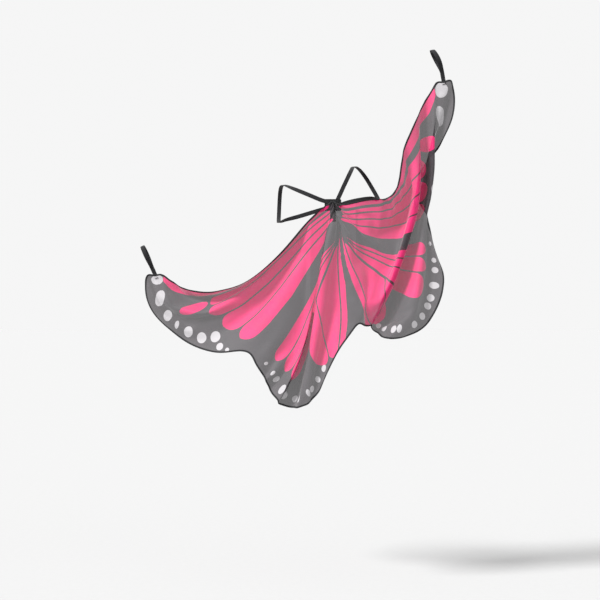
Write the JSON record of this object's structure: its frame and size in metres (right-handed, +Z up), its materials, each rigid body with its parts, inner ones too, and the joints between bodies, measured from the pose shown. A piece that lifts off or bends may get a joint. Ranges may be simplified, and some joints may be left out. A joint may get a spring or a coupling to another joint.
{
  "type": "dress-up butterfly wings",
  "caption": "Sheer printed cape wings gathered at the neck, with an overlocked edge, elastic shoulder loops and elastic wrist loops, shaped as worn with one arm raised.",
  "frame": {"origin": "middle of the neck tape's inner face, which rests on the wearer's upper back", "axes": "+Z up, +Y the way the wearer faces, +X towards the wearer's right hand; the outside of the wings faces -Y"},
  "size_m": [0.7768, 0.1607, 0.8752],
  "materials": {
    "printed_cloth": "sheer plain-weave chiffon, printed pink, black and off-white",
    "edge_thread": "dense black overlock stitches",
    "neck_tape": "black woven twill tape",
    "elastic": "flat ribbed black elastic",
    "sewing_thread": "twisted black polyester thread",
    "label": "blank white satin ribbon"
  },
  "bodies": {
    "back": {"cloth_back": "printed_cloth", "edge_hindwings": "edge_thread", "edge_top_left": "edge_thread", "edge_top_right": "edge_thread", "neck_tape": "neck_tape", "care_label": "label", "gather_stitch_upper": "sewing_thread", "gather_stitch_lower": "sewing_thread", "strap_end_left_over": "elastic", "strap_end_left_under": "elastic", "strap_end_right_over": "elastic", "strap_end_right_under": "elastic", "tack_left_over": "sewing_thread", "tack_left_under": "sewing_thread", "tack_right_over": "sewing_thread", "tack_right_under": "sewing_thread"},
    "left_wing": {"cloth_left_wing": "printed_cloth", "edge_left_wing": "edge_thread", "wrist_tab_left": "elastic", "tack_wrist_left": "sewing_thread"},
    "right_wing": {"cloth_right_wing": "printed_cloth", "edge_right_wing": "edge_thread", "wrist_tab_right": "elastic", "tack_wrist_right": "sewing_thread"},
    "left_wrist_loop": {"wrist_loop_left": "elastic"},
    "right_wrist_loop": {"wrist_loop_right": "elastic"},
    "left_shoulder_loop": {"shoulder_loop_left": "elastic"},
    "right_shoulder_loop": {"shoulder_loop_right": "elastic"}
  },
  "joints": [
    {"name": "left_wing_swing", "type": "hinge", "parent": "back", "child": "left_wing", "pos_m": [-0.15, -0.0034, -0.29], "axis": [0, 0, -1], "range_deg": [-40, 55]},
    {"name": "right_wing_swing", "type": "hinge", "parent": "back", "child": "right_wing", "pos_m": [0.13, -0.0034, -0.15], "axis": [0, 0, 1], "range_deg": [-40, 55]},
    {"name": "left_wrist_turn", "type": "hinge", "parent": "left_wing", "child": "left_wrist_loop", "pos_m": [-0.44007, 0.0981, -0.15786], "axis": [-0.4067, 0, 0.9135], "range_deg": [-60, 60]},
    {"name": "right_wrist_turn", "type": "hinge", "parent": "right_wing", "child": "right_wrist_loop", "pos_m": [0.26826, 0.0431, 0.31385], "axis": [-0.1736, 0, 0.9848], "range_deg": [-60, 60]},
    {"name": "left_shoulder_fold", "type": "hinge", "parent": "back", "child": "left_shoulder_loop", "pos_m": [-0.03, -0.0019, 0], "axis": [0, 0, -1], "range_deg": [0, 35]},
    {"name": "right_shoulder_fold", "type": "hinge", "parent": "back", "child": "right_shoulder_loop", "pos_m": [0.03, -0.0019, 0.03], "axis": [0, 0, 1], "range_deg": [0, 35]}
  ]
}
